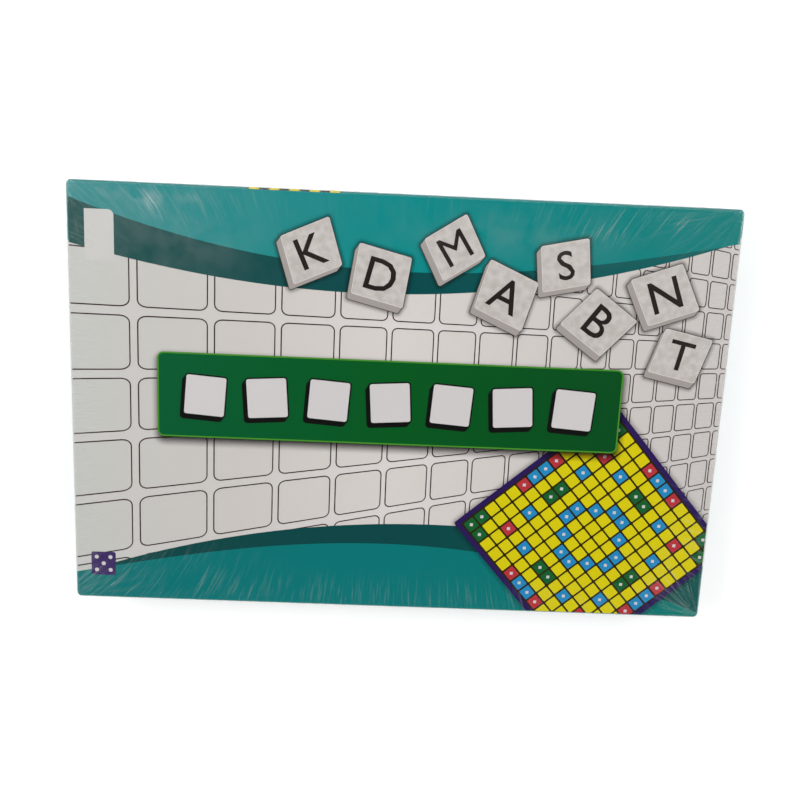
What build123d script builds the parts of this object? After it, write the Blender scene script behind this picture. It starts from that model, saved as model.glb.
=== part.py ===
from build123d import *
from math import radians, tan
import os

# Word board game in a rigid set-up box, shrink-wrapped, lying on its base with the lid on.
# Millimetres. The origin is at the middle of the underside: X runs along the box, Y to the
# top of the cover, Z up. The sizes run outwards from the contents: the tray holds the
# contents, the base holds the tray, the lid slides over the base and the film goes round all.

# Folding game board
board_length = 352.0
board_half_width = 176.0
board_core_thickness = 2.4
board_paper = 0.25
board_fold_gap = 0.3

# Letter tiles
tile_size = 18.0
tile_thickness = 4.2
tile_bevel = 0.5
tile_gap = 0.3
tile_layer_gap = 0.1
tile_columns = 18
tile_rows = 2
tile_layer_count = 3
top_layer_columns = 14

# Tile racks
rack_count = 4
rack_length = 184.0
rack_depth = 21.0
rack_height = 15.5
rack_wall = 1.5
rack_lip_height = 5.4
rack_lip_thickness = 1.8
rack_ledge_height = 3.6
rack_ledge_depth = 4.6
rack_back_lean = 4.5
rack_crest = 2.4
rack_rounding = 0.6
rack_spacing = 0.5

# Cloth letter pouch, folded flat
pouch_length = 138.0
pouch_width = 140.0
pouch_thickness = 15.0
pouch_corner_radius = 16.0
pouch_edge_bevel = 4.0

# Rules booklet
booklet_length = 210.0
booklet_width = 148.0
booklet_cover_thickness = 0.3
booklet_sheets_thickness = 0.9
booklet_trim = 0.5
booklet_offset_x = -42.0
booklet_setback = 18.0
staple_wire = 0.5
staple_crown = 12.0
staple_spacing = 105.0

# Thermoformed insert tray
tray_wall = 0.7
tray_draft = 3.0
tray_corner_radius = 4.0
tray_rim_width = 1.9
tray_rim_bevel = 0.8
recess_depth = 3.0
well_inset = 6.0
well_spacing = 8.0
well_head_room = 7.4
divider_width = 7.4
notch_width = 30.0
notch_depth = 9.0
notch_reach = 10.0
notch_offset = 95.0
notch_corner_radius = 3.0
rack_scoop_radius = 13.0
rack_scoop_depth = 14.0
tile_scoop_radius = 9.0
tile_scoop_depth = 10.0
board_clearance = 1.0
tile_clearance = 0.6
rack_clearance = 1.0
pouch_clearance = 2.0
tray_clearance = 0.5

# Card box: greyboard shells, paper stays round the corners, printed paper glued over both
card_thickness = 1.5
card_bend_radius = 0.9
card_edge_bevel = 0.8
paper_thickness = 0.25
stay_thickness = 0.25
stay_reach = 22.0
base_turn_in = 18.0
lid_turn_in = 15.0
lid_clearance = 0.5
lid_rest_gap = 0.3
lid_foot_gap = 3.5
head_room = 5.2

# Shrink film, parted where its weld runs round the sides
film_thickness = 0.2
film_gap = 0.1
film_slack = 0.3
film_seam_height = 20.0
film_seam_gap = 0.05
bead_reach = 0.4
bead_height = 0.8
bead_end_inset = 12.0

# Levels, from the table up
base_foot = film_thickness
card_foot = base_foot + paper_thickness
base_floor = card_foot + card_thickness
well_floor = base_floor + tray_wall
recess_floor = well_floor + max(rack_height, pouch_thickness) + well_head_room
deck_level = recess_floor + recess_depth
tile_stack = tile_layer_count * (tile_thickness + tile_layer_gap) - tile_layer_gap
tile_floor = deck_level - tile_bevel - tile_stack
board_stack = 2 * board_core_thickness + 4 * board_paper + board_fold_gap
board_top = recess_floor + board_stack
booklet_thickness = 2 * booklet_cover_thickness + booklet_sheets_thickness
base_rim = board_top + booklet_thickness + head_room
lid_foot = base_foot + lid_foot_gap
lid_ceiling = base_rim + lid_rest_gap
lid_card_top = lid_ceiling + card_thickness
lid_top = lid_card_top + paper_thickness


def spread(height):
    """How far a drafted tray wall leans outwards over a height."""
    return height * tan(radians(tray_draft))


# Corner radii of the wells: three times the clearance still clears a square corner
recess_corner_radius = 3 * board_clearance
tile_well_corner_radius = 3 * tile_clearance
rack_well_corner_radius = 3 * rack_clearance
pouch_well_corner_radius = pouch_corner_radius + pouch_clearance

# Wells of the tray: sizes at the floor, and at the mouth where the draft has opened them
tile_pitch = tile_size + tile_gap
tile_well_length = tile_columns * tile_pitch - tile_gap + 2 * tile_clearance
tile_well_width = tile_rows * tile_pitch - tile_gap + 2 * tile_clearance
tile_mouth_length = tile_well_length + 2 * spread(deck_level - tile_floor)
tile_mouth_width = tile_well_width + 2 * spread(deck_level - tile_floor)
rack_pitch = rack_depth + rack_spacing
rack_well_length = rack_length + 2 * rack_clearance
rack_well_width = rack_count * rack_pitch - rack_spacing + 2 * rack_clearance
pouch_well_length = pouch_length + 2 * pouch_clearance
pouch_well_width = pouch_width + 2 * pouch_clearance
well_spread = 2 * spread(recess_floor - well_floor)
rack_mouth_length = rack_well_length + well_spread
pouch_mouth_length = pouch_well_length + well_spread
wells_length = rack_mouth_length + well_spacing + pouch_mouth_length
wells_width = max(rack_well_width, pouch_well_width) + well_spread
recess_length = max(board_length + 2 * board_clearance, wells_length + 2 * well_inset)
recess_width = max(board_half_width + 2 * board_clearance, wells_width + 2 * well_inset)
recess_mouth_length = recess_length + 2 * spread(recess_depth)
recess_mouth_width = recess_width + 2 * spread(recess_depth)

# Plan of the tray: the board's recess behind, the tile well in front of it
tile_strip_length = tile_mouth_length + 2 * tile_scoop_radius
deck_length = max(recess_mouth_length, tile_strip_length) + 2 * tray_rim_width
deck_width = recess_mouth_width + divider_width + tile_mouth_width + 2 * tray_rim_width
tray_length = deck_length + 2 * spread(deck_level - base_floor)
tray_width = deck_width + 2 * spread(deck_level - base_floor)
recess_y = deck_width / 2 - tray_rim_width - recess_mouth_width / 2
tile_well_y = -deck_width / 2 + tray_rim_width + tile_mouth_width / 2
rack_well_x = -recess_length / 2 + well_inset + rack_mouth_length / 2
pouch_well_x = recess_length / 2 - well_inset - pouch_mouth_length / 2

# Plan of the card box and of the film, each from what it goes round
card_corner_radius = card_bend_radius + card_thickness
paper_corner_radius = card_corner_radius + paper_thickness
paper_edge_bevel = card_edge_bevel + paper_thickness / 2
film_edge_bevel = card_edge_bevel - film_gap
base_room_length = tray_length + 2 * (tray_clearance + paper_thickness)
base_room_width = tray_width + 2 * (tray_clearance + paper_thickness)
base_card_length = base_room_length + 2 * card_thickness
base_card_width = base_room_width + 2 * card_thickness
base_length = base_card_length + 2 * paper_thickness
base_width = base_card_width + 2 * paper_thickness
lid_room_length = base_length + 2 * (lid_clearance + paper_thickness)
lid_room_width = base_width + 2 * (lid_clearance + paper_thickness)
lid_card_length = lid_room_length + 2 * card_thickness
lid_card_width = lid_room_width + 2 * card_thickness
lid_length = lid_card_length + 2 * paper_thickness
lid_width = lid_card_width + 2 * paper_thickness
film_outset = film_gap + film_thickness
skirt_outset = film_slack + film_thickness

os.makedirs("parts", exist_ok=True)


def finish(piece, name):
    """Name a finished piece and write it."""
    piece.label = name
    export_step(piece, f"parts/{name}.step")


def block(length, width, radius, foot, top, mode=Mode.ADD):
    """A rounded rectangular block between two levels, about the middle of the box."""
    with BuildSketch(Plane.XY.offset(foot)) as plan:
        RectangleRounded(length, width, radius)
    extrude(plan.sketch, amount=top - foot, mode=mode)


def band(length, width, radius, thickness, foot, top):
    """A wall of even thickness just inside a rounded rectangle."""
    with BuildSketch(Plane.XY.offset(foot)) as plan:
        RectangleRounded(length, width, radius)
        RectangleRounded(
            length - 2 * thickness,
            width - 2 * thickness,
            radius - thickness,
            mode=Mode.SUBTRACT,
        )
    extrude(plan.sketch, amount=top - foot)


def corner_stays(length, width, foot, top):
    """Paper strips bent round the four corners, pressed flush into the card."""
    with BuildSketch(Plane.XY.offset(foot)) as plan:
        RectangleRounded(length, width, card_corner_radius)
        RectangleRounded(
            length - 2 * stay_thickness,
            width - 2 * stay_thickness,
            card_corner_radius - stay_thickness,
            mode=Mode.SUBTRACT,
        )
        Rectangle(length - 2 * stay_reach, width, mode=Mode.SUBTRACT)
        Rectangle(length, width - 2 * stay_reach, mode=Mode.SUBTRACT)
    extrude(plan.sketch, amount=top - foot)


# Base of the box
with BuildPart() as base_corner_stays:
    corner_stays(base_card_length, base_card_width, card_foot, base_rim - paper_thickness)
finish(base_corner_stays.part, "base_corner_stays")

with BuildPart() as base_board:
    block(base_card_length, base_card_width, card_corner_radius, card_foot, base_rim - paper_thickness)
    block(base_room_length, base_room_width, card_bend_radius, base_floor, base_rim, Mode.SUBTRACT)
    add(base_corner_stays.part, mode=Mode.SUBTRACT)
finish(base_board.part, "base_board")

# The paper covers the underside and the sides, goes over the rim and is turned in
base_mouth_length = base_room_length - 2 * paper_thickness
base_mouth_width = base_room_width - 2 * paper_thickness
base_mouth_radius = card_bend_radius - paper_thickness
with BuildPart() as base_wrap:
    block(base_length, base_width, paper_corner_radius, base_foot, base_rim)
    block(
        base_card_length,
        base_card_width,
        card_corner_radius,
        card_foot,
        base_rim - paper_thickness,
        Mode.SUBTRACT,
    )
    band(
        base_room_length,
        base_room_width,
        card_bend_radius,
        paper_thickness,
        base_rim - base_turn_in,
        base_rim - paper_thickness,
    )
    block(
        base_mouth_length,
        base_mouth_width,
        base_mouth_radius,
        base_rim - paper_thickness,
        base_rim,
        Mode.SUBTRACT,
    )
finish(base_wrap.part, "base_wrap")

# Lid of the box: the form is the solid outline of its card, which the paper goes over
with BuildPart() as lid_form:
    block(lid_card_length, lid_card_width, card_corner_radius, lid_foot + paper_thickness, lid_card_top)
    chamfer(lid_form.faces().sort_by(Axis.Z)[-1].edges(), card_edge_bevel)

with BuildPart() as lid_corner_stays:
    corner_stays(
        lid_card_length,
        lid_card_width,
        lid_foot + paper_thickness,
        lid_card_top - card_edge_bevel,
    )
finish(lid_corner_stays.part, "lid_corner_stays")

with BuildPart() as lid_board:
    add(lid_form.part)
    block(lid_room_length, lid_room_width, card_bend_radius, lid_foot, lid_ceiling, Mode.SUBTRACT)
    add(lid_corner_stays.part, mode=Mode.SUBTRACT)
finish(lid_board.part, "lid_board")

lid_mouth_length = lid_room_length - 2 * paper_thickness
lid_mouth_width = lid_room_width - 2 * paper_thickness
lid_mouth_radius = card_bend_radius - paper_thickness
with BuildPart() as lid_wrap:
    block(lid_length, lid_width, paper_corner_radius, lid_foot, lid_top)
    chamfer(lid_wrap.faces().sort_by(Axis.Z)[-1].edges(), paper_edge_bevel)
    add(lid_form.part, mode=Mode.SUBTRACT)
    band(
        lid_room_length,
        lid_room_width,
        card_bend_radius,
        paper_thickness,
        lid_foot + paper_thickness,
        lid_foot + lid_turn_in,
    )
    block(
        lid_mouth_length,
        lid_mouth_width,
        lid_mouth_radius,
        lid_foot,
        lid_foot + paper_thickness,
        Mode.SUBTRACT,
    )
finish(lid_wrap.part, "lid_wrap")

# Shrink film: an upper part round the lid and a lower part round the foot of the box
upper_film_foot = film_seam_height + film_seam_gap
with BuildPart() as film_room:
    block(
        lid_length + 2 * film_gap,
        lid_width + 2 * film_gap,
        paper_corner_radius + film_gap,
        film_seam_height,
        lid_top + film_gap,
    )
    chamfer(film_room.faces().sort_by(Axis.Z)[-1].edges(), film_edge_bevel)

with BuildPart() as film_upper:
    block(
        lid_length + 2 * film_outset,
        lid_width + 2 * film_outset,
        paper_corner_radius + film_outset,
        upper_film_foot,
        lid_top + film_outset,
    )
    chamfer(film_upper.faces().sort_by(Axis.Z)[-1].edges(), film_edge_bevel)
    add(film_room.part, mode=Mode.SUBTRACT)
finish(film_upper.part, "film_upper")

# The weld runs along the front and the two short sides: the film is folded at the back
bead_outset = film_outset + bead_reach
with BuildPart() as film_seal_bead:
    band(
        lid_length + 2 * bead_outset,
        lid_width + 2 * bead_outset,
        paper_corner_radius + bead_outset,
        bead_reach,
        upper_film_foot,
        upper_film_foot + bead_height,
    )
    with BuildSketch(Plane.XY.offset(upper_film_foot)):
        with Locations((0, lid_width / 2)):
            Rectangle(lid_length + 4 * bead_outset, 2 * bead_end_inset)
    extrude(amount=bead_height, mode=Mode.SUBTRACT)
finish(film_seal_bead.part, "film_seal_bead")

with BuildPart() as film_lower_sides:
    band(
        lid_length + 2 * skirt_outset,
        lid_width + 2 * skirt_outset,
        paper_corner_radius + skirt_outset,
        film_thickness,
        film_thickness,
        film_seam_height,
    )
finish(film_lower_sides.part, "film_lower_sides")

with BuildPart() as film_underside:
    block(
        lid_length + 2 * skirt_outset,
        lid_width + 2 * skirt_outset,
        paper_corner_radius + skirt_outset,
        0,
        film_thickness,
    )
finish(film_underside.part, "film_underside")


# Insert tray: one heated sheet drawn into a mould, so its wall is even and every wall has
# draft. It is made as its upper surface's solid, less the same solid one wall further in.
def pocket(x, y, length, width, radius, floor, mouth, inset):
    """A drafted rounded-rectangle hollow, grown by the inset on its sides and floor."""
    with BuildSketch(Plane.XY.offset(floor - inset)) as plan:
        with Locations((x, y)):
            RectangleRounded(length + 2 * inset, width + 2 * inset, radius + inset)
    extrude(plan.sketch, amount=mouth - floor + inset, taper=-tray_draft, mode=Mode.SUBTRACT)


def scoop(x, y, radius, floor, mouth, inset):
    """A drafted round finger hollow beside a well."""
    with BuildSketch(Plane.XY.offset(floor - inset)) as plan:
        with Locations((x, y)):
            Circle(radius + inset)
    extrude(plan.sketch, amount=mouth - floor + inset, taper=-tray_draft, mode=Mode.SUBTRACT)


recess_front = recess_y - recess_width / 2
tile_well_back = tile_well_y + tile_well_width / 2
notch_length = recess_front + notch_reach - tile_well_back
notch_y = tile_well_back + notch_length / 2


def tray_form(inset):
    """The tray's upper surface as a solid, drawn in by the inset on every side."""
    over_deck = deck_level + recess_depth
    over_recess = recess_floor + recess_depth / 2
    with BuildSketch(Plane.XY.offset(base_floor)) as plan:
        RectangleRounded(
            tray_length - 2 * inset,
            tray_width - 2 * inset,
            tray_corner_radius - inset,
        )
    solid = extrude(plan.sketch, amount=deck_level - inset - base_floor, taper=tray_draft)
    chamfer(solid.faces().sort_by(Axis.Z)[-1].edges(), tray_rim_bevel)
    pocket(0, recess_y, recess_length, recess_width, recess_corner_radius, recess_floor, over_deck, inset)
    pocket(
        rack_well_x,
        recess_y,
        rack_well_length,
        rack_well_width,
        rack_well_corner_radius,
        well_floor,
        over_recess,
        inset,
    )
    pocket(
        pouch_well_x,
        recess_y,
        pouch_well_length,
        pouch_well_width,
        pouch_well_corner_radius,
        well_floor,
        over_recess,
        inset,
    )
    pocket(
        0,
        tile_well_y,
        tile_well_length,
        tile_well_width,
        tile_well_corner_radius,
        tile_floor,
        over_deck,
        inset,
    )
    for side in (-1, 1):
        pocket(
            side * notch_offset,
            notch_y,
            notch_width,
            notch_length,
            notch_corner_radius,
            deck_level - notch_depth,
            over_recess,
            inset,
        )
        pocket(
            side * notch_offset,
            (recess_front + tile_well_back) / 2,
            notch_width,
            recess_front - tile_well_back + 2 * notch_corner_radius,
            notch_corner_radius,
            deck_level - notch_depth,
            over_deck,
            inset,
        )
        scoop(
            rack_well_x,
            recess_y + side * rack_well_width / 2,
            rack_scoop_radius,
            recess_floor - rack_scoop_depth,
            over_recess,
            inset,
        )
        scoop(
            side * tile_well_length / 2,
            tile_well_y,
            tile_scoop_radius,
            deck_level - tile_scoop_depth,
            over_deck,
            inset,
        )


with BuildPart() as tray_core:
    tray_form(tray_wall)

with BuildPart() as insert_tray:
    tray_form(0)
    add(tray_core.part, mode=Mode.SUBTRACT)
finish(insert_tray.part, "insert_tray")


# Game board, folded in half with its playing surface inside and its fold at the back
def folded_sheet(length, width, height, thickness, x, y, foot):
    """A sheet folded once, open towards the front, with its fold at the back."""
    with BuildSketch(Plane.YZ.offset(x - length / 2)) as section:
        with Locations((y, foot + height / 2)):
            Rectangle(width, height)
        with Locations((y - thickness / 2, foot + height / 2)):
            Rectangle(width - thickness, height - 2 * thickness, mode=Mode.SUBTRACT)
    extrude(section.sketch, amount=length)


board_y = recess_y
core_y = board_y - board_paper / 2
core_width = board_half_width - board_paper
lower_core_foot = recess_floor + board_paper
sheet_foot = lower_core_foot + board_core_thickness
sheet_height = 2 * board_paper + board_fold_gap
upper_core_foot = sheet_foot + sheet_height

with BuildPart() as board_backing:
    folded_sheet(board_length, board_half_width, board_stack, board_paper, 0, board_y, recess_floor)
finish(board_backing.part, "board_backing")

with BuildPart() as board_playing_sheet:
    folded_sheet(board_length, core_width, sheet_height, board_paper, 0, core_y, sheet_foot)
finish(board_playing_sheet.part, "board_playing_sheet")

for name, foot in (("board_core_lower", lower_core_foot), ("board_core_upper", upper_core_foot)):
    with BuildPart() as board_core:
        with BuildSketch(Plane.XY.offset(foot)):
            with Locations((0, core_y)):
                Rectangle(board_length, core_width)
        extrude(amount=board_core_thickness)
    finish(board_core.part, name)

# Rules booklet, lying on the folded board with its spine at the back
booklet_spine = board_y + board_half_width / 2 - booklet_setback
booklet_y = booklet_spine - booklet_width / 2
with BuildPart() as booklet_cover:
    folded_sheet(
        booklet_length,
        booklet_width,
        booklet_thickness,
        booklet_cover_thickness,
        booklet_offset_x,
        booklet_y,
        board_top,
    )
finish(booklet_cover.part, "booklet_cover")

sheets_width = booklet_width - booklet_cover_thickness - booklet_trim
with BuildPart() as booklet_sheets:
    with BuildSketch(Plane.XY.offset(board_top + booklet_cover_thickness)):
        with Locations((booklet_offset_x, booklet_spine - booklet_cover_thickness - sheets_width / 2)):
            Rectangle(booklet_length, sheets_width)
    extrude(amount=booklet_sheets_thickness)
finish(booklet_sheets.part, "booklet_sheets")

with BuildPart() as booklet_staples:
    for side in (-1, 1):
        staple_start = booklet_offset_x + side * staple_spacing / 2 - staple_crown / 2
        with BuildSketch(Plane.YZ.offset(staple_start)):
            with Locations((booklet_spine + staple_wire / 2, board_top + booklet_thickness / 2)):
                Circle(staple_wire / 2)
        extrude(amount=staple_crown)
finish(booklet_staples.part, "booklet_staples")


# Tile racks: a lip and a ledge in front, a leaning back and a hollow underside
def rack_profile(foot):
    """The rack's section, from the front lip to the rear foot, down to a level."""
    front = -rack_depth / 2
    ledge_front = front + rack_lip_thickness
    ledge_back = ledge_front + rack_ledge_depth
    crest_front = ledge_back + rack_back_lean
    with BuildLine() as outline:
        Polyline(
            (front, foot),
            (front, rack_lip_height),
            (ledge_front, rack_lip_height),
            (ledge_front, rack_ledge_height),
            (ledge_back, rack_ledge_height),
            (crest_front, rack_height),
            (crest_front + rack_crest, rack_height),
            (rack_depth / 2, foot),
            close=True,
        )
    make_face(outline.line)


with BuildPart() as tile_rack:
    with BuildSketch(Plane.YZ.offset(-rack_length / 2)) as rack_section:
        rack_profile(0)
        fillet(rack_section.vertices().filter_by(lambda v: v.Z > rack_ledge_height + 0.01), rack_rounding)
    extrude(amount=rack_length)
    with BuildSketch(Plane.YZ.offset(-rack_length / 2 + rack_wall)):
        rack_profile(-rack_wall)
        offset(amount=-rack_wall)
    extrude(amount=rack_length - 2 * rack_wall, mode=Mode.SUBTRACT)

first_rack_y = recess_y - (rack_count - 1) * rack_pitch / 2
for number in range(rack_count):
    with BuildPart() as placed_rack:
        with Locations((rack_well_x, first_rack_y + number * rack_pitch, well_floor)):
            add(tile_rack.part)
    finish(placed_rack.part, f"tile_rack_{number + 1}")

# Letter tiles: full layers under a top layer that ends short, so a tile can be picked up
tile_layer_names = ("letter_tiles_bottom", "letter_tiles_middle", "letter_tiles_top")
for level in range(tile_layer_count):
    columns = top_layer_columns if level == tile_layer_count - 1 else tile_columns
    layer_foot = tile_floor + level * (tile_thickness + tile_layer_gap)
    layer_x = (columns - tile_columns) * tile_pitch / 2
    with BuildPart() as tile_layer:
        with BuildSketch(Plane.XY.offset(layer_foot)):
            with Locations((layer_x, tile_well_y)):
                with GridLocations(tile_pitch, tile_pitch, columns, tile_rows):
                    Rectangle(tile_size, tile_size)
        extrude(amount=tile_thickness)
        chamfer(tile_layer.faces().group_by(Axis.Z)[-1].edges(), tile_bevel)
    finish(tile_layer.part, tile_layer_names[level])

# Letter pouch: folded cloth, a soft pad on the floor of its well
with BuildPart() as letter_pouch:
    with BuildSketch(Plane.XY.offset(well_floor)):
        with Locations((pouch_well_x, recess_y)):
            RectangleRounded(pouch_length, pouch_width, pouch_corner_radius)
    extrude(amount=pouch_thickness)
    chamfer(letter_pouch.faces().sort_by(Axis.Z)[-1].edges(), pouch_edge_bevel)
finish(letter_pouch.part, "letter_pouch")

overall_length = lid_length + 2 * bead_outset
overall_width = lid_width + bead_outset + skirt_outset
print(f"box {lid_length:.2f} x {lid_width:.2f}, lid top at {lid_top:.2f}")
print(f"over the film {overall_length:.2f} x {overall_width:.2f} x {lid_top + film_outset:.2f}")
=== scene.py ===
"""A boxed word board game in shrink film: finishes, cover print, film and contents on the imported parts."""

import bmesh
import bpy
import numpy as np
from mathutils import Matrix, Vector


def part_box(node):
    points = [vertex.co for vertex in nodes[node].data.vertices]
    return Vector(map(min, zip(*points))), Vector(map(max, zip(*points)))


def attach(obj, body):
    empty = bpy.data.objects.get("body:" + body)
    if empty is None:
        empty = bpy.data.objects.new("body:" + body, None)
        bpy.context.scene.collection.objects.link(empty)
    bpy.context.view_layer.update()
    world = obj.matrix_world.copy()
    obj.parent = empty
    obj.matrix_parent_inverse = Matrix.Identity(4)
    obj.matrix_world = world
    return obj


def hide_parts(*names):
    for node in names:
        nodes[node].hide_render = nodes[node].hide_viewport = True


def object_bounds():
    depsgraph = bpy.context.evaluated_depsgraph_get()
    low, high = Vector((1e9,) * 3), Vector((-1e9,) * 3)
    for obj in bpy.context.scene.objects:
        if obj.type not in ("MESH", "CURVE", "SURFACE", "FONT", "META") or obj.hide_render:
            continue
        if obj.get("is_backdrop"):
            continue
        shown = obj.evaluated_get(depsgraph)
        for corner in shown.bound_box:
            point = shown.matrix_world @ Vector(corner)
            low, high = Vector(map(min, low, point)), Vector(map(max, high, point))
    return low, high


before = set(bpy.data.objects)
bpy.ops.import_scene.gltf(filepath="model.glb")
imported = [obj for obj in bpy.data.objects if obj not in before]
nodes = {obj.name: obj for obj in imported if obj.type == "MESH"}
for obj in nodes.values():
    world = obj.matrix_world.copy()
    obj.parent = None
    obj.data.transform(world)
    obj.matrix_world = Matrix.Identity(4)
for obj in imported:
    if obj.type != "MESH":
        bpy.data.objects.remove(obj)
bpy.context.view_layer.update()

# Base of the box: grey board folded up at four walls, gummed tape round its corners and one sheet of
# coated paper glued over both. Board and tape are matt and flecked, the tape browner and finer, and
# the paper has an even ink and the low shine of a varnish.
mm = 0.001
pulp_cloud = 9 * mm
felt_mark = 0.5 * mm
paper_fibre = 0.35 * mm


def linear(code):
    """The linear colour of an sRGB hex value: a channel over 12.92 if dark, else raised to 2.4."""
    channels = np.array([int(code[at:at + 2], 16) for at in (1, 3, 5)]) / 255
    bright = ((channels + 0.055) / 1.055) ** 2.4
    return (*np.where(channels <= 0.04045, channels / 12.92, bright).tolist(), 1.0)


def add_node(tree, kind, inputs=None, feeds=None, output=0, **settings):
    """Adds a node, fills its inputs with values or other nodes' outputs, and returns one output."""
    made = tree.nodes.new("ShaderNode" + kind)
    for name, value in settings.items():
        setattr(made, name, value)
    for name, value in (inputs or {}).items():
        if isinstance(value, bpy.types.NodeSocket):
            tree.links.new(value, made.inputs[name])
        else:
            made.inputs[name].default_value = value
    if feeds:
        tree.links.new(made.outputs[output], feeds)
    return made.outputs[output]


def opened(material):
    """A material's node tree, its shader's inputs and its Object coordinates, in metres."""
    made = material.node_tree.nodes
    return material.node_tree, made["Principled BSDF"].inputs, made["Texture Coordinate"].outputs["Object"]


def new_material(name, colour, roughness, **shine):
    """A material of one colour and roughness, with its opened parts, for patterns to be added."""
    material = bpy.data.materials.new(name)
    material.use_nodes = True
    add_node(material.node_tree, "TexCoord")
    tree, shader, place = opened(material)
    shader["Base Color"].default_value = linear(colour)
    shader["Roughness"].default_value = roughness
    for socket, value in shine.items():
        shader[socket.replace("_", " ")].default_value = value
    return material, tree, shader, place


def two_shades(shader, share, first, second):
    """The settings of a Mix node that colours a shader from one hex to another by a share of 0 to 1."""
    return {"inputs": {0: share, 6: linear(first), 7: linear(second)},
            "feeds": shader["Base Color"], "output": 2, "data_type": "RGBA"}


def dress(material, *names):
    """Puts a material on CAD nodes."""
    for name in names:
        slots = nodes[name].data.materials
        slots.clear()
        slots.append(material)


def pressed_fibre(name, pale, dark, fleck):
    """Matt pulp: clouds of two shades, flecks one size across and a surface marked by the felt."""
    material, tree, shader, place = new_material(name, pale, 0.92)
    clouds = add_node(tree, "TexNoise", {"Vector": place, "Scale": 1 / pulp_cloud})
    specks = add_node(tree, "TexNoise", {"Vector": place, "Scale": 1 / fleck, "Detail": 6.0})
    sharp = add_node(tree, "MapRange", {"Value": specks, "From Min": 0.52, "From Max": 0.66})
    both = add_node(tree, "Math", {0: clouds, 1: sharp}, operation="MAXIMUM")
    add_node(tree, "Mix", **two_shades(shader, both, pale, dark))
    felt = add_node(tree, "TexNoise", {"Vector": place, "Scale": 1 / felt_mark})
    add_node(tree, "Bump", {"Height": felt, "Distance": 0.03 * mm}, shader["Normal"])
    return material


def coated_paper(name, colour, varnish=0.36, shine=0.15):
    """Litho print under varnish: the ink is one even colour, and the fibres only stir its shine."""
    material, tree, shader, place = new_material(name, colour, varnish, Specular_IOR_Level=shine)
    fibres = add_node(tree, "TexNoise", {"Vector": place, "Scale": 1 / paper_fibre, "Detail": 4.0})
    add_node(tree, "MapRange", {
        "Value": fibres, "From Min": 0.3, "From Max": 0.7,
        "To Min": varnish - 0.05, "To Max": varnish + 0.07}, shader["Roughness"])
    add_node(tree, "Bump", {"Height": fibres, "Distance": 0.005 * mm}, shader["Normal"])
    return material


greyboard = pressed_fibre("greyboard_pulp", "#8f8b85", "#6f6a64", 0.7 * mm)
gummed_kraft = pressed_fibre("gummed_kraft_tape", "#a98459", "#8b6a44", 0.4 * mm)
light_teal = coated_paper("coated_paper_light_teal", "#007774")
dress(greyboard, "base_board")
dress(gummed_kraft, "base_corner_stays")
dress(light_teal, "base_wrap")

# Insert tray: one sheet of black polystyrene, softened over heat and drawn down into a mould. It is
# glossy, with the long soft waves that a drawn sheet keeps and the faint grain of the mould.
tray_grain = 0.6 * mm
tray_wave = 14 * mm
wave_over_grain = 6.0
tray_sheet, tree, shader, place = new_material("vacuum_formed_polystyrene", "#16191d", 0.28)
grain = add_node(tree, "TexNoise", {"Vector": place, "Scale": 1 / tray_grain})
waves = add_node(tree, "TexNoise", {"Vector": place, "Scale": 1 / tray_wave, "Detail": 1.0})
add_node(tree, "MapRange", {"Value": grain, "To Min": 0.2, "To Max": 0.4}, shader["Roughness"])
surface = add_node(tree, "Math", {0: waves, 1: wave_over_grain, 2: grain}, operation="MULTIPLY_ADD")
add_node(tree, "Bump", {"Height": surface, "Distance": 0.02 * mm}, shader["Normal"])
dress(tray_sheet, "insert_tray")

# Tile racks: four moulded plum ABS rails, open underneath. The plastic is glossy and even, with a
# hint of flow lines along its length.
flow_width = 1.6 * mm
flow_stretch = 0.07
rack_plastic, tree, shader, place = new_material("moulded_abs_plum", "#35164a", 0.2)
drawn_out = add_node(tree, "Mapping", {"Vector": place, "Scale": (flow_stretch, 1.0, 1.0)})
flow = add_node(tree, "TexNoise", {"Vector": drawn_out, "Scale": 1 / flow_width})
add_node(tree, "Mix", **two_shades(shader, flow, "#2f1342", "#3d1b54"))
add_node(tree, "MapRange", {"Value": flow, "To Min": 0.12, "To Max": 0.28}, shader["Roughness"])
add_node(tree, "Bump", {"Height": flow, "Distance": 0.008 * mm}, shader["Normal"])
dress(rack_plastic, "tile_rack_1", "tile_rack_2", "tile_rack_3", "tile_rack_4")

# Letter pouch: a green cotton twill bag, one length of cloth folded at the bottom and sewn up both
# sides, then laid flat and folded once across. Its four plies lie inside each other in round folds.
pouch_low, pouch_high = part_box("letter_pouch")
pouch_size = pouch_high - pouch_low
pouch_middle = (pouch_low + pouch_high) / 2
cloth_thickness = 1.1 * mm
twill_pitch = 0.9 * mm
ply_levels = (3, 0, 1, 2)
ply_steps = 34
width_steps = 61
side_room = 3 * mm
swell_room = 3.2 * mm
rest_gap = 0.1 * mm
sewn_share = 0.62
crumple_rise = 0.8 * mm
crumple_shift = 0.7 * mm
crumple_pitch = 22 * mm
# A wave texture of scale 1 repeats about every 0.3 of a unit
wave_repeat = 0.3
scene = bpy.context.scene


def grid_faces(rows, columns):
    """The four-cornered faces of a grid of places, row after row."""
    first = (np.arange(rows - 1)[:, None] * columns + np.arange(columns - 1)).ravel()
    return np.column_stack([first, first + 1, first + columns + 1, first + columns])


def new_piece(name, places, faces, material, body="lid", slot="printed_paper", smooth=False):
    """A finished object from arrays of places and faces, which rides on a body."""
    mesh = bpy.data.meshes.new(name)
    faces = faces if isinstance(faces, list) else faces.tolist()
    mesh.from_pydata(np.asarray(places).tolist(), [], faces)
    mesh.materials.append(material)
    mesh.polygons.foreach_set("use_smooth", np.full(len(mesh.polygons), smooth))
    piece = bpy.data.objects.new(name, mesh)
    scene.collection.objects.link(piece)
    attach(piece, body)
    return piece


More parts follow.
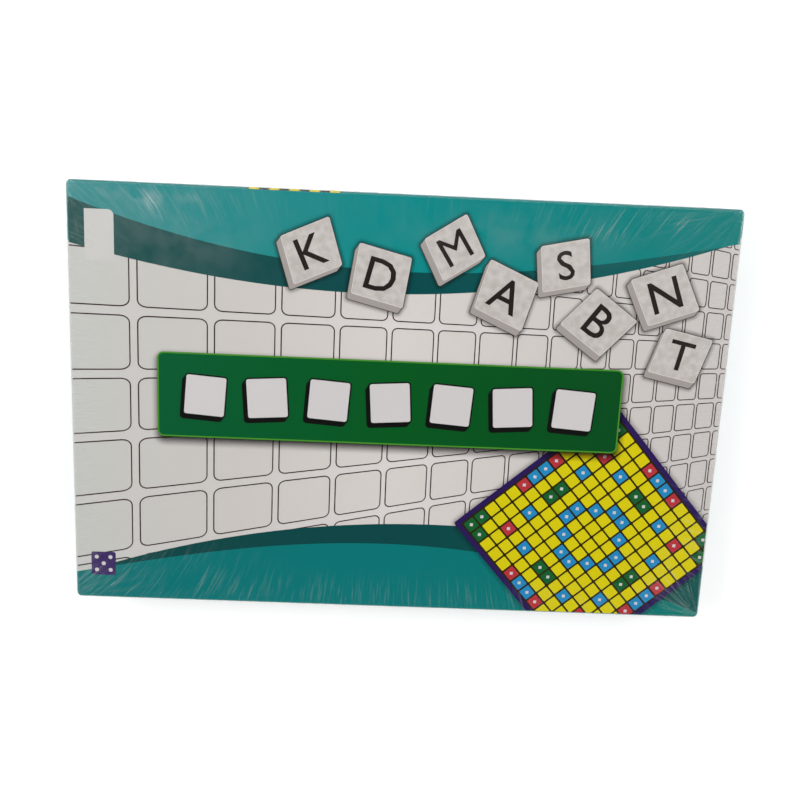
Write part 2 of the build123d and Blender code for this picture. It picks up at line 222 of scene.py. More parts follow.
def folded_line(length, levels, pitch, steps):
    """Straight runs at a list of levels, there and back, joined by half circles round nested folds."""
    lines = []
    side = 1
    reach = length / 2 - 1.5 * pitch
    for level, following in zip(levels, levels[1:] + (None,)):
        along = np.linspace(-reach, reach, steps)
        lines.append(np.column_stack([side * along, np.full(steps, level * pitch)]))
        if following is not None:
            radius = abs(following - level) * pitch / 2
            turn = np.radians(np.linspace(-90, 90, 13)[1:-1]) * np.sign(following - level)
            lines.append(np.column_stack([
                side * (reach + radius * np.cos(turn)),
                (level + following) * pitch / 2 + radius * np.sin(turn)]))
        side = -side
    return np.vstack(lines)


def distance_along(places):
    """How far along a line of places each one lies: the lengths of the steps before it, added up."""
    return np.concatenate([[0], np.cumsum(np.linalg.norm(np.diff(places, axis=0), axis=1))])


ply_pitch = (pouch_size.z - swell_room) / 3
line = folded_line(pouch_size.y - 2 * cloth_thickness, ply_levels, ply_pitch, ply_steps)
travel = distance_along(line)[:, None]
level = line[:, 1:]
across = np.linspace(-0.5, 0.5, width_steps)[None, :]
# Each ply swells in the middle and sinks to its sewn sides; slow waves crumple the cloth
swell = 1 - (2 * across) ** 6
phase = np.random.default_rng(7).uniform(0, 2 * np.pi, 8)
crumple = sum(np.sin(across * (9 + 4 * k) + phase[k])
              * np.sin(travel / crumple_pitch * (1 + k / 2) + phase[k + 4]) for k in range(4)) / 4
rise = level * (sewn_share + (1 - sewn_share) * swell)
rise += crumple_rise * (crumple + 1) * swell * (level > ply_pitch / 2)
pouch_places = np.dstack(np.broadcast_arrays(
    pouch_middle.x + across * (pouch_size.x - side_room) + crumple_shift * crumple,
    pouch_middle.y + line[:, :1],
    pouch_low.z + cloth_thickness / 2 + rest_gap + rise))
pouch_cloth, tree, shader, place = new_material("cotton_twill_green", "#1d4a30", 0.85, Sheen_Weight=0.2)
thread_map = add_node(tree, "UVMap", uv_map="cloth")
twill = add_node(tree, "TexWave", {
    "Vector": thread_map, "Scale": wave_repeat / twill_pitch, "Distortion": 0.6},
    output="Fac", bands_direction="DIAGONAL")
faded = add_node(tree, "TexNoise", {"Vector": place, "Scale": 1 / (18 * mm)})
add_node(tree, "Mix", **two_shades(shader, faded, "#183f29", "#275d3e"))
add_node(tree, "Bump", {"Height": twill, "Distance": 0.12 * mm}, shader["Normal"])
pouch = new_piece(
    "letter_pouch_folded", pouch_places.reshape(-1, 3), grid_faces(len(line), across.size),
    pouch_cloth, "base", "pouch_cloth", True)
cloth_places = np.dstack(np.broadcast_arrays(across * pouch_size.x, travel)).reshape(-1, 2)
corners = [corner.vertex_index for corner in pouch.data.loops]
pouch.data.uv_layers.new(name="cloth").uv.foreach_set("vector", cloth_places[corners].ravel())
ply = pouch.modifiers.new("ply", "SOLIDIFY")
ply.thickness = cloth_thickness
ply.offset = 0.0
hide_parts("letter_pouch")

# Game board: two sheets of grey board joined by one dark paper, which wraps the back and is the
# hinge, with the printed playing sheet inside the fold. The backing is pressed with the cross-ribs of
# bookcloth, whose ridges have a dull shine.
rib_pitch = 0.9 * mm
square_pitch = 11 * mm
square_line = 0.4 * mm
backing, tree, shader, place = new_material("embossed_bookbinding_paper", "#15233a", 0.6)
ribs = [add_node(tree, "TexWave", {"Vector": place, "Scale": wave_repeat / rib_pitch, "Distortion": 0.8},
                 output="Fac", bands_direction=way) for way in "XY"]
crossed = add_node(tree, "Math", {0: ribs[0], 1: ribs[1]}, operation="MULTIPLY")
add_node(tree, "Mix", **two_shades(shader, crossed, "#101b2e", "#1d2f4c"))
add_node(tree, "MapRange", {"Value": crossed, "To Min": 0.7, "To Max": 0.45}, shader["Roughness"])
add_node(tree, "Bump", {"Height": crossed, "Distance": 0.07 * mm}, shader["Normal"])
playing_sheet, tree, shader, place = new_material("litho_playing_sheet", "#cfc21a", 0.4)
add_node(tree, "TexBrick", {
    "Vector": place, "Scale": 1.0, "Brick Width": square_pitch, "Row Height": square_pitch,
    "Mortar Size": square_line, "Color1": linear("#cfc21a"), "Color2": linear("#c8b915"),
    "Mortar": linear("#3b2f16")}, shader["Base Color"], offset=0.0)
dress(greyboard, "board_core_lower", "board_core_upper")
dress(backing, "board_backing")
dress(playing_sheet, "board_playing_sheet")

# Rules booklet: a sheaf of thin white sheets in a heavier cover, folded once and held by two wire
# staples in the spine. The cover is printed in the box's colours: two bands and a row of squares.
booklet_low, booklet_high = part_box("booklet_cover")
booklet_size = booklet_high - booklet_low
booklet_middle = np.mean([booklet_low[:2], booklet_high[:2]], 0)
ink_gap = 0.02 * mm
booklet_band = 34 * mm
booklet_margin = 1.0 * mm
booklet_square = 20 * mm
booklet_columns = np.linspace(-75, 75, 6) * mm
booklet_white = coated_paper("uncoated_booklet_paper", "#d9d8d2", 0.55)
booklet_green = coated_paper("coated_paper_booklet_green", "#006c3a")
staple_wire, tree, shader, place = new_material("galvanised_staple_wire", "#b9babd", 0.3, Metallic=1.0)
wire_marks = add_node(tree, "TexNoise", {"Vector": place, "Scale": 1 / (0.4 * mm)})
add_node(tree, "MapRange", {"Value": wire_marks, "To Min": 0.2, "To Max": 0.4}, shader["Roughness"])
dress(booklet_white, "booklet_cover", "booklet_sheets")
dress(staple_wire, "booklet_staples")


def rounded(length, width, radius, steps=4):
    """Places round a rounded rectangle, a corner's centre plus a turning radius, and their outward ways."""
    turn = np.radians(np.linspace(0, 90, steps + 1) + 90 * np.arange(4)[:, None]).ravel()
    outward = np.column_stack([np.cos(turn), np.sin(turn)])
    corner = np.repeat([[1, 1], [-1, 1], [-1, -1], [1, -1]], steps + 1, 0)
    return corner * (np.array([length, width]) / 2 - radius) + radius * outward, outward


def printed(name, shapes, ink, *rides):
    """Shapes of one ink, an array of shapes by places by three, each one face; rides: body, and a slot that
    is not used.
    """
    faces = np.arange(shapes.shape[0] * shapes.shape[1]).reshape(shapes.shape[:2])
    return new_piece(name, shapes.reshape(-1, 3), faces, ink, *rides)


def flat_print(name, shapes, height, ink, *rides):
    """Shapes of one ink, an array of shapes by places by two, each one face at a height."""
    shapes = np.asarray(shapes, float)
    levels = np.full(shapes.shape[:2] + (1,), height)
    return printed(name, np.concatenate([shapes, levels], -1), ink, *rides)


band_shape = rounded(booklet_size.x - 2 * booklet_margin, booklet_band, 0.5 * mm)[0]
band_place = np.array([0, booklet_size.y / 2 - booklet_margin - booklet_band / 2])
flat_print("booklet_bands", [band_shape + (booklet_middle + band_place * way) for way in (1, -1)],
           booklet_high.z + ink_gap, light_teal, "base", "booklet_paper")
square_shape = rounded(booklet_square, booklet_square, 2 * mm)[0]
flat_print("booklet_squares", [square_shape + booklet_middle + [x, 0] for x in booklet_columns],
           booklet_high.z + ink_gap, booklet_green, "base", "booklet_paper")

# Letter tiles: a hundred ivory urea mouldings, bevelled on top, with a pad-printed capital on each.
# The plastic is dense and softly shiny, and no two lie in quite the same shade.
tile_size = 18 * mm
tile_pitch = 18.3 * mm
tile_rows = 2
capital_height = 8.5 * mm
letter_tilt = 1.5
letter_run = "EEERTAOSNILCDUMPGHBYFVKWZXQJ"
# The print's strokes are heavier than the face's, except where they would close up
stroke_weight = 0.006
close_strokes = "MW"
smallest_face = 1e-9
tile_ivory, tree, shader, place = new_material("moulded_urea_ivory", "#e4dcc3", 0.3)
shade = add_node(tree, "TexNoise", {"Vector": place, "Scale": 1 / (17 * mm), "Detail": 0.0})
add_node(tree, "Mix", **two_shades(shader, shade, "#d9ceb0", "#efe8d4"))
buffed = add_node(tree, "TexNoise", {"Vector": place, "Scale": 1 / (1.2 * mm)})
add_node(tree, "MapRange", {"Value": buffed, "To Min": 0.2, "To Max": 0.42}, shader["Roughness"])
add_node(tree, "Bump", {"Height": buffed, "Distance": 0.006 * mm}, shader["Normal"])
dress(tile_ivory, "letter_tiles_bottom", "letter_tiles_middle", "letter_tiles_top")
pad_print = coated_paper("pad_printed_black", "#1b1a18", 0.4)
glyph_shapes = {}


def glyph(character):
    """A capital's flat places and faces from the built-in face, one unit tall about its middle."""
    if character not in glyph_shapes:
        curve = bpy.data.curves.new("capital", "FONT")
        curve.body = character
        curve.resolution_u = 3
        curve.offset = 0.0 if character in close_strokes else stroke_weight
        holder = bpy.data.objects.new("capital", curve)
        scene.collection.objects.link(holder)
        bpy.context.view_layer.update()
        mesh = bpy.data.meshes.new_from_object(holder)
        places = np.array([vertex.co[:2] for vertex in mesh.vertices])
        low, high = places.min(0), places.max(0)
        faces = [list(face.vertices) for face in mesh.polygons if face.area > smallest_face]
        glyph_shapes[character] = ((places - (low + high) / 2) / (high[1] - low[1]), faces)
        bpy.data.objects.remove(holder)
        bpy.data.curves.remove(curve)
        bpy.data.meshes.remove(mesh)
    return glyph_shapes[character]


def turned(places, degrees):
    """Places, or ways, turned about the origin."""
    angle = np.radians(degrees)
    return places @ np.array([[np.cos(angle), np.sin(angle)], [-np.sin(angle), np.cos(angle)]])


def lettered(name, letters, height, ink, *rides):
    """Capitals of one ink at a height, each given as a character, a middle, a size and a turn."""
    places, faces, count = [], [], 0
    for character, middle, size, turn in letters:
        shape, own_faces = glyph(character)
        places.append(turned(shape * size, turn) + middle)
        faces.extend([[count + corner for corner in face] for face in own_faces])
        count += len(shape)
    spots = np.column_stack([np.vstack(places), np.full(count, height)])
    return new_piece(name, spots, faces, ink, *rides)


def grid_places(columns, rows):
    """Every pair of one of the columns and one of the rows, column by column."""
    return np.dstack(np.meshgrid(columns, rows, indexing="ij")).reshape(-1, 2)


draw = np.random.default_rng(26)
for layer in ("bottom", "middle", "top"):
    low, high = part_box(f"letter_tiles_{layer}")
    columns = round((high.x - low.x) / tile_pitch)
    spots = grid_places(np.arange(columns), np.arange(tile_rows)) * tile_pitch + tile_size / 2 + low[:2]
    drawn = draw.integers(0, len(letter_run), len(spots))
    turns = draw.choice([0, 90, 180, 270], len(spots)) + draw.uniform(-letter_tilt, letter_tilt, len(spots))
    lettered(f"tile_letters_{layer}", [
        (letter_run[which], spot, capital_height, turn) for which, spot, turn in zip(drawn, spots, turns)],
        high.z + ink_gap, pad_print, "base", "tile_plastic")

# Lid of the box: made as the base is, and 5 mm longer and wider, so that it drops over it. Its paper
# is teal on the walls, and the pale middle of the cover runs out over the edges of the short sides.
teal_hex = "#007875"
ground_hex = "#c9c6c2"
wrap_low, wrap_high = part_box("lid_wrap")
paper_bevel = 0.925 * mm
pale_half = 96.5 * mm
pale_slant = 0.046
pale_drop = 1.3 * paper_bevel
lid_paper = coated_paper("coated_paper_lid_wrap", teal_hex)
tree, shader, place = opened(lid_paper)
apart = add_node(tree, "SeparateXYZ", {0: place}).node.outputs
slanted = add_node(tree, "Math", {0: apart["X"], 1: -pale_slant, 2: apart["Y"]}, operation="MULTIPLY_ADD")
beside = add_node(tree, "Math", {0: slanted, 1: 0.0, 2: pale_half}, operation="COMPARE")
above = add_node(tree, "Math", {0: apart["Z"], 1: wrap_high.z - pale_drop}, operation="GREATER_THAN")
pale = add_node(tree, "Math", {0: beside, 1: above}, operation="MULTIPLY")
add_node(tree, "Mix", **two_shades(shader, pale, teal_hex, ground_hex))
dress(greyboard, "lid_board")
dress(gummed_kraft, "lid_corner_stays")
dress(lid_paper, "lid_wrap")

# Cover print: litho inks on the lid's paper, drawn as flat shapes a hair above each other. The pale
# middle is a lattice of round-cornered squares that shrinks to the right, as if it were seen aslant.
layer_gap = 0.02 * mm
cover_length = wrap_high.x - wrap_low.x - 2 * paper_bevel
cover_width = wrap_high.y - wrap_low.y - 2 * paper_bevel
cover_corner = 1.7 * mm
cover_outline, cover_ways = rounded(cover_length, cover_width, cover_corner)
# Ground and cells drift from greenish at the left to warm at the right, as printed, and are lighter in the
# middle than at the ends: painted light.
ground_shades_and_painted_light = ("#c9c8c4", "#cecac6", "#dbd5d3", "#d3cecb", "#cbc6c3")
cell_shades_and_painted_light = ("#c4c5c0", "#ccc7c3", "#d7d1cd", "#d0cac6", "#cac5c2")
lattice_place = np.array([-149.9, 15.0]) * mm
lattice_step = np.array([35.2, 35.4]) * mm
lattice_climb = 3.2 * mm
lattice_squeeze = 0.0726
lattice_columns = np.arange(-1, 17)
lattice_rows = np.arange(-6, 6)
cell_size = (0.918, 0.875)
cell_corner = 0.12
cell_line = 0.75 * mm


def graded_paper(name, colours, middle, length):
    """Litho print whose ink goes through a list of colours along Object X, over a length of it."""
    material = coated_paper(name, colours[0])
    tree, shader, place = opened(material)
    across = add_node(tree, "SeparateXYZ", {0: place})
    share = add_node(tree, "MapRange", {
        "Value": across, "From Min": middle - length / 2, "From Max": middle + length / 2})
    ramp = add_node(tree, "ValToRGB", {0: share}, shader["Base Color"]).node.color_ramp
    for stop, colour in zip(np.linspace(0, 1, len(colours)).tolist(), colours):
        element = ramp.elements.new(stop) if 0 < stop < 1 else ramp.elements[-1 if stop else 0]
        element.color = linear(colour)
    return material


def at_layer(layer):
    """The height of one layer of ink above the lid's paper."""
    return wrap_high.z + (layer + 1) * layer_gap


def trim_to_cover(piece):
    """Cuts a print off along every side of the cover's rounded outline."""
    shape = bmesh.new()
    shape.from_mesh(piece.data)
    for place, way in zip(cover_outline, cover_ways):
        bmesh.ops.bisect_plane(
            shape, geom=shape.verts[:] + shape.edges[:] + shape.faces[:], dist=1e-7,
            plane_co=(*place, 0), plane_no=(*way, 0), clear_outer=True)
    shape.to_mesh(piece.data)
    shape.free()


def aslant(places):
    """Lattice places to metres: steps along and across, over one plus the squeeze times the column."""
    column = places[..., :1]
    flat = lattice_place + places * lattice_step + column * np.array([0, lattice_climb])
    return flat / (1 + lattice_squeeze * column)


ground_ink_and_painted_light = graded_paper("coated_paper_ground", ground_shades_and_painted_light, 0, cover_length)
cell_ink_and_painted_light = graded_paper("coated_paper_cells", cell_shades_and_painted_light, 0, cover_length)
line_ink = coated_paper("coated_paper_lines", "#33211c")
cells = grid_places(lattice_columns, lattice_rows) + 0.5
shrink = 1 + lattice_squeeze * cells[:, :1]
line_share = cell_line * np.hstack([shrink ** 1.6, shrink ** 0.6])
line_share /= lattice_step - lattice_place * [lattice_squeeze, 0]
cell_shape, cell_way = rounded(*cell_size, cell_corner)
flat_print("cover_ground", [cover_outline], at_layer(0), ground_ink_and_painted_light)
trim_to_cover(flat_print("cover_lattice_lines", aslant(cells[:, None] + cell_shape), at_layer(1), line_ink))
inner_cells = cells[:, None] + cell_shape - cell_way * line_share[:, None]
trim_to_cover(flat_print("cover_lattice_cells", aslant(inner_cells), at_layer(2), cell_ink_and_painted_light))

# Cover bands: two curved bands of teal along the back of the cover and two along its front, the
# outer one lighter. A bare pale tab stands in the back one, and a die's face marks the front left.
band_reach = 186 * mm
band_outside = 130 * mm
band_steps = np.linspace(-1, 1, 90)
# Each band: its inner edge's height in mm at five places, which way it lies, its colours and its layer
bands = {
    "dark_back": ((87.3, 70.1, 66.2, 77.0, 103.2), 1, ("#1e4f4c", "#00484a", "#0a6160"), 3),
    # The light back band's paler left end is painted reflection of the film's sheen there
    "light_back": ((112.0, 87.0, 78.6, 85.1, 102.2), 1, ("#35898a", "#008887", "#007b77"), 4),
    "dark_front": ((-106.6, -79.7, -68.4, -72.4, -91.0), -1, ("#0a4745", "#054647", "#02544f"), 3),
    "light_front": ((-105.1, -87.7, -80.9, -90.8, -117.7), -1, ("#037373", "#007676", "#007870"), 4),
}
tab_size = np.array([16, 28]) * mm
tab_corner = 3 * mm
tab_middle = np.array([-168, 91.5]) * mm
die_size = np.array([14.2, 14.4]) * mm
die_corner = 1.2 * mm
die_middle = np.array([-169.3, -99.3]) * mm
pip_size = 2.4 * mm
pip_pitch = 4 * mm


def curved(heights):
    """The polynomial through a band's heights, which stand at even steps from left to right."""
    steps = np.linspace(-1, 1, len(heights))
    return np.polyval(np.polyfit(steps, heights, len(heights) - 1), band_steps)


for name, (heights, way, colours, layer) in bands.items():
    edges = [curved(heights) * mm, np.full(len(band_steps), way * band_outside)]
    across = np.tile(band_steps * band_reach, 2)
    strip = np.column_stack([across, np.concatenate(edges[::way]), np.full(len(across), at_layer(layer))])
    trim_to_cover(new_piece(
        f"cover_band_{name}", strip, grid_faces(2, len(band_steps)),
        graded_paper(f"coated_paper_{name}", colours, 0, cover_length)))
# Only the tab's right corner at the back is round
tab_shape = np.vstack([rounded(*tab_size, tab_corner)[0][:5],
                       np.array([[-1, 1], [-1, -1], [1, -1]]) * tab_size / 2])
flat_print("cover_tab", [tab_shape + tab_middle], at_layer(5), ground_ink_and_painted_light)
mark_purple = coated_paper("coated_paper_purple", "#3b2760")
mark_white = coated_paper("coated_paper_white", "#cfcbcb")
flat_print("cover_die_face", [rounded(*die_size, die_corner)[0] + die_middle], at_layer(5), mark_purple)
# A round pip: each corner's last place is the next one's first
pip_shape = np.delete(rounded(pip_size, pip_size, pip_size / 2)[0], slice(4, None, 5), 0)
pip_places = np.array([[-1, -1], [1, -1], [0, 0], [-1, 1], [1, 1]]) * pip_pitch
flat_print("cover_die_pips", pip_shape + die_middle + pip_places[:, None], at_layer(6), mark_white)

# Pictured board: a square of yellow with dark lines and a purple border, turned on the cover and cut
# off by its front and right edges, with a scatter of blue, red and green squares of its own.
picture_middle = np.array([117, -72]) * mm
picture_turn = 41
picture_side = 116 * mm
picture_border = 3 * mm
picture_cells = 14
picture_line = 1.1 * mm
picture_inner = picture_side - 2 * picture_border
picture_pitch = (picture_inner - picture_line) / picture_cells
picture_inks = {"yellow": "#d6c90a", "blue": "#2489bd", "red": "#b5343c", "green": "#12602e"}
diamond_share = 0.16
shadow_rings = 6
shadow_fade = 1.4
shadow_ink, tree, shader, place = new_material(
    "coated_paper_soft_shadow", "#100c0b", 0.4, Specular_IOR_Level=0.1)
shade = add_node(tree, "Attribute", attribute_name="shade", output="Fac")
grain = add_node(tree, "TexNoise", {"Vector": place, "Scale": 1 / (0.4 * mm)})
grainy = add_node(tree, "MapRange", {"Value": grain, "To Min": 0.85, "To Max": 1.15})
add_node(tree, "Math", {0: shade, 1: grainy}, shader["Alpha"], operation="MULTIPLY")


def ring_faces(rings):
    """The four-cornered faces between closed rings of places, which are rows of the places' numbers."""
    following = np.roll(rings, -1, 1)
    return np.stack([rings[:-1], rings[1:], following[1:], following[:-1]], -1).reshape(-1, 4)


def mark_places(piece, name, values):
    """Gives a piece's places an attribute: one number each, or three."""
    kind, field = ("FLOAT_VECTOR", "vector") if values.ndim == 2 else ("FLOAT", "value")
    piece.data.attributes.new(name, kind, "POINT").data.foreach_set(field, values.ravel())


def shadow_ring(name, shape, outward, inner, outer, layer, darkness):
    """A soft shadow: an evenly dark middle, and rings where darkness is a power of the way left to go."""
    steps = np.linspace(0, 1, shadow_rings)
    rings = shape + outward * (steps[:, None, None] * (inner + outer) - inner)
    numbers = np.arange(rings[..., 0].size).reshape(rings.shape[:2])
    places = np.column_stack([rings.reshape(-1, 2), np.full(numbers.size, at_layer(layer))])
    faces = ring_faces(numbers).tolist() + [numbers[0].tolist()]
    piece = new_piece(name, places, faces, shadow_ink)
    mark_places(piece, "shade", np.repeat(darkness * (1 - steps) ** shadow_fade, len(shape)))
    return piece


def in_picture(places):
    """Places in the pictured board's own square, turned and moved onto the cover."""
    return turned(places, picture_turn) + picture_middle


outline, outline_way = rounded(picture_side, picture_side, 1.5 * mm)
trim_to_cover(shadow_ring(
    "cover_board_shadow", in_picture(outline), turned(outline_way, picture_turn),
    1.08 * mm, 3.25 * mm, 7, 0.41))
trim_to_cover(flat_print(
    "cover_board_border", [in_picture(outline)], at_layer(8),
    coated_paper("coated_paper_board_border", "#2a1856")))
lined = rounded(picture_inner, picture_inner, 0.5 * mm)[0]
trim_to_cover(flat_print(
    "cover_board_lines", [in_picture(lined)], at_layer(9),
    coated_paper("coated_paper_board_lines", "#2a2006")))
# A square's colour goes by its nearer and its farther distance from the board's two middle lines
board_steps = np.arange(picture_cells) - (picture_cells - 1) / 2
board_cells = grid_places(board_steps, board_steps)
near, far = np.sort(np.abs(board_cells), 1).T
kinds = np.full(len(board_cells), "yellow")
kinds[(near + far == 3) | (near + far == 7) & (near % 2 == 0.5)] = "blue"
kinds[(far == 4.5) & (near == 4.5) | (far == 6.5) & (near == 1.5)] = "red"
kinds[(far == 4.5) & (near == 0.5) | (far == 6.5) & (near >= 5.5)] = "green"
cell_square = rounded(picture_pitch - picture_line, picture_pitch - picture_line, 0.4 * mm, 1)[0]
diamond = np.array([[1, 0], [0, 1], [-1, 0], [0, -1]]) * picture_pitch * diamond_share
for kind, ink_hex in picture_inks.items():
    picked = board_cells[kinds == kind] * picture_pitch
    trim_to_cover(flat_print(
        f"cover_board_{kind}", in_picture(picked[:, None] + cell_square), at_layer(10),
        coated_paper(f"coated_paper_board_{kind}", ink_hex)))
picked = board_cells[kinds != "yellow"] * picture_pitch
trim_to_cover(flat_print(
    "cover_board_diamonds", in_picture(picked[:, None] + diamond), at_layer(11), mark_white))

# Pictured tiles: eight bevelled squares with one plain capital each, scattered over the upper right
# of the cover. Each has a pale side below its face, a thin dark edge and a soft shadow under it.
tile_height_share = 0.94
tile_corner = 1.2 * mm
tile_drop = np.array([-2.2, -3.0]) * mm
tile_edge = 0.3 * mm
tile_rim = 0.35 * mm
tile_letter_share = 0.6
mottle_size = 4 * mm
# Each tile: its capital, its middle in mm, its side in mm, its turn in degrees and its lean
pictured_tiles = (
    ("K", (-52, 88), 29, 24, 0.12), ("D", (-13, 76), 30, -14, -0.1), ("M", (27, 93), 27, 33, 0.1),
    ("A", (57, 68), 30, -24, -0.14), ("S", (89, 86), 27, 12, 0.1), ("B", (110, 55), 30, -36, 0.12),
    ("N", (146, 72), 30, 20, -0.1), ("T", (158, 38), 28, -12, 0.1),
)
tile_hexes = {"edge": "#4a423f", "side": "#a39c98", "rim": "#d6d1cd", "face": "#c3bdb9", "letter": "#241c1a"}
tile_inks = {kind: coated_paper(f"coated_paper_tile_{kind}", ink) for kind, ink in tile_hexes.items()}
tree, shader, place = opened(tile_inks["face"])
mottle = add_node(tree, "TexNoise", {"Vector": place, "Scale": 1 / mottle_size, "Detail": 5.0})
mottle = add_node(tree, "MapRange", {"Value": mottle, "From Min": 0.35, "From Max": 0.65})
add_node(tree, "Mix", **two_shades(shader, mottle, "#bab4af", "#cbc6c2"))


def swept(shape, way, drop):
    """An outline drawn out along a drop: the places whose outward way faces the drop move by it."""
    return np.where((way @ drop)[:, None] > 0, shape + drop, shape)


tile_shapes, tile_letters = [], []
for count, (letter, middle, side, turn, lean) in enumerate(pictured_tiles, 1):
    middle = np.array(middle) * mm
    shape, way = rounded(side * mm, side * tile_height_share * mm, tile_corner)
    slope = np.array([[1, 0], [lean, 1]])
    shape, way = turned(shape @ slope, turn), turned(way, turn)
    body = middle + swept(shape, way, tile_drop)
    shadow_ring(f"cover_tile_shadow_{count}", body, way, 1.0 * mm, 3.0 * mm, 12, 0.74)
    tile_shapes.append([body + way * tile_edge, body, middle + shape, middle + shape - way * tile_rim])
    tile_letters.append((letter, middle, side * tile_letter_share * mm, turn))
for count, kind in enumerate(("edge", "side", "rim", "face")):
    flat_print(f"cover_tile_{kind}s", np.array(tile_shapes)[:, count], at_layer(13 + count), tile_inks[kind])
lettered("cover_tile_letters", tile_letters, at_layer(17), tile_inks["letter"])

# Cover banner: a long green plate across the middle with a lime edge and a soft shadow. It holds
# seven blank white squares, tilted by turns, each with a black outline and a dark drop behind it.
banner_middle = np.array([-5, 4]) * mm
banner_size = np.array([264, 49]) * mm
banner_corner = 3.6 * mm
banner_edge = 0.9 * mm
banner_shadow = np.array([0.5, -2.2]) * mm
banner_colours = ("#005a31", "#00581f", "#004c1c")
blank_side = 23 * mm
blank_corner = 1.5 * mm
blank_columns = np.linspace(-105, 105, 7) * mm
blank_tilt = 4
blank_drop = np.array([-1.6, -2.2]) * mm
blank_outline = 0.7 * mm
blank_inset = 0.2 * mm
banner_shape, banner_way = rounded(*banner_size, banner_corner)
banner_shape = banner_shape + banner_middle
banner_lime = coated_paper("coated_paper_lime", "#458d2b")
banner_green = graded_paper("coated_paper_green", banner_colours, banner_middle[0], banner_size[0])
outline_black = coated_paper("coated_paper_black", "#0a0c0a")
shadow_ring("cover_banner_shadow", banner_shape + banner_shadow, banner_way, 2.1 * mm, 3.9 * mm, 12, 0.8)
flat_print("cover_banner_edge", [banner_shape], at_layer(13), banner_lime)
flat_print("cover_banner_plate", [banner_shape - banner_way * banner_edge], at_layer(14), banner_green)
blank_outlines, blank_faces = [], []
for count, column in enumerate(blank_columns):
    middle = banner_middle + [column, 0]
    turn = blank_tilt if count % 2 else -blank_tilt
    shape, way = rounded(blank_side, blank_side, blank_corner)
    shape, way = turned(shape, turn), turned(way, turn)
    blank_outlines.append(middle + swept(shape, way, blank_drop) + way * blank_outline)
    blank_faces.append(middle + shape - way * blank_inset)
flat_print("cover_blank_outlines", blank_outlines, at_layer(15), outline_black)
flat_print("cover_blank_faces", blank_faces, at_layer(16), mark_white)

# Wall print: a row of blank squares, yellow and dark by turns, on the two long walls of the lid. A
# pattern of the same colours begins as marks on the cover's back bevel, above the row there.
wall_square = rounded(9 * mm, 9 * mm, 1 * mm)[0]
wall_columns = np.linspace(-84, -40, 5) * mm
wall_level = (wrap_low.z + wrap_high.z) / 2
wall_gap = 0.03 * mm
# Each ink: its material, its marks' columns, and how long and how far off the bevel they are
wall_prints = {
    "yellow": (coated_paper("coated_paper_wall_yellow", "#d8c21c"), wall_columns, 5.5 * mm, 0.06 * mm),
    "dark": (outline_black, wall_columns[2:3], 51 * mm, 0.04 * mm),
}
for count, (kind, (ink, marks, length, gap)) in enumerate(wall_prints.items()):
    columns = wall_columns[count::2]
    squares = []
    for y, way in ((wrap_high.y + wall_gap, -1), (wrap_low.y - wall_gap, 1)):
        flat = wall_square * [way, 1] + grid_places(columns, wall_level)[:, None]
        squares.append(np.dstack([flat[..., 0], np.full(flat.shape[:2], y), flat[..., 1]]))
    printed(f"lid_wall_squares_{kind}", np.concatenate(squares), ink)
    along = marks[:, None] + np.array([-1, 1, 1, -1]) * length / 2
    up = np.broadcast_to(np.array([1, 1, 0, 0]) * paper_bevel, along.shape)
    printed(f"lid_edge_marks_{kind}",
            np.dstack([along, wrap_high.y - up + gap, wrap_high.z - paper_bevel + up + gap]), ink)

# Shrink film: clear polyolefin, wrapped round the closed box, welded half-way up its walls and drawn
# tight by hot air. It mirrors the lamps sharply, in fine streaks square to the edges and in folds that
# fan out of the corners. It is a little milky there, and that milky white, along the streaks and in
# soft spots, is partly haze and partly painted glints and reflections. It is parted at its weld, so the
# lid lifts.
film_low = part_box("film_upper")[0]
film_pitch = 1.25 * mm
film_lift = 0.4 * mm
film_stand = 0.25 * mm
film_bend = 1.1 * mm
film_index = 1.5
bend_rings = 5
wall_rings = 14
streak_width = 1.3 * mm
streak_lengths = {"side": 17 * mm, "end": 22 * mm, "fan": 50 * mm}
streak_depth = 0.06 * mm
streak_milk_and_glint = 0.15
cloud_size = 16 * mm
film, tree, shader, place = new_material("clear_polyolefin_film", "#f4f6f6", 0.05)
tree.nodes.remove(tree.nodes["Principled BSDF"])
height = 0.0
for kind, streak_length in streak_lengths.items():
    streak_map = add_node(tree, "Attribute", attribute_name=f"streak_{kind}", output="Vector")
    strength = add_node(tree, "SeparateXYZ", {0: streak_map}, output="Z")
    scaled = add_node(tree, "Mapping", {
        "Vector": streak_map, "Scale": (1 / streak_width, 1 / streak_length, 0)})
    noise = add_node(tree, "TexNoise", {"Vector": scaled, "Scale": 1.0})
    ridge = add_node(tree, "MapRange", {"Value": noise, "From Min": 0.52, "From Max": 0.71})
    height = add_node(tree, "Math", {0: ridge, 1: strength, 2: height}, operation="MULTIPLY_ADD")
bumps = add_node(tree, "Bump", {"Height": height, "Distance": streak_depth})
# The milky white mixed in over the mirror is partly the film's haze and partly painted glints and
# reflections
milk_and_painted_glint = add_node(tree, "Attribute", attribute_name="milk_and_painted_glint", output="Fac")
clouds = add_node(tree, "TexNoise", {
    "Vector": place, "Scale": 1 / cloud_size, "Detail": 6.0, "Roughness": 0.62})
milk_and_glint_clouds = add_node(tree, "MapRange", {"Value": clouds, "From Min": 0.36, "From Max": 0.62})
cloud_milk_and_glint = add_node(tree, "Math", {0: milk_and_painted_glint, 1: milk_and_glint_clouds}, operation="MULTIPLY")
milk_and_glint_amount = add_node(tree, "Math", {0: height, 1: streak_milk_and_glint, 2: cloud_milk_and_glint}, operation="MULTIPLY_ADD")
mirror = add_node(tree, "BsdfGlossy", {"Color": (1, 1, 1, 1), "Roughness": 0.05, "Normal": bumps})
through = add_node(tree, "BsdfTransparent")
milk_and_glint_white = add_node(tree, "BsdfDiffuse", {"Color": linear("#f6f8f8"), "Normal": bumps})
